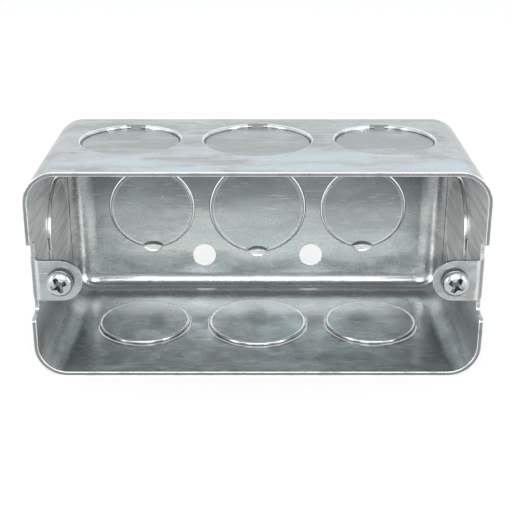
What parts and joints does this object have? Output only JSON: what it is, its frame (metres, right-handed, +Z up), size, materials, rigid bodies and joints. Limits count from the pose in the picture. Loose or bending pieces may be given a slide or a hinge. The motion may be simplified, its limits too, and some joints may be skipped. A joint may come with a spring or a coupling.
{
  "type": "metal back box",
  "caption": "Drawn steel wall box with round knockouts, folded-in screw ears and rounded corners, for mounting a switch or socket.",
  "frame": {"origin": "bottom centre of the bounding box, the box lying on its lower long side wall", "axes": "+X along the length, +Y from the open mouth to the back wall, +Z up across the width"},
  "size_m": [0.1016, 0.0492, 0.0492],
  "materials": {
    "galvanised_steel": "hot-dip galvanised, satin, with faint spangle and drawing marks",
    "screw_zinc": "bright zinc plate"
  },
  "bodies": {
    "root": {"back_box": "galvanised_steel", "left_cover_screw": "screw_zinc", "right_cover_screw": "screw_zinc"}
  },
  "joints": []
}
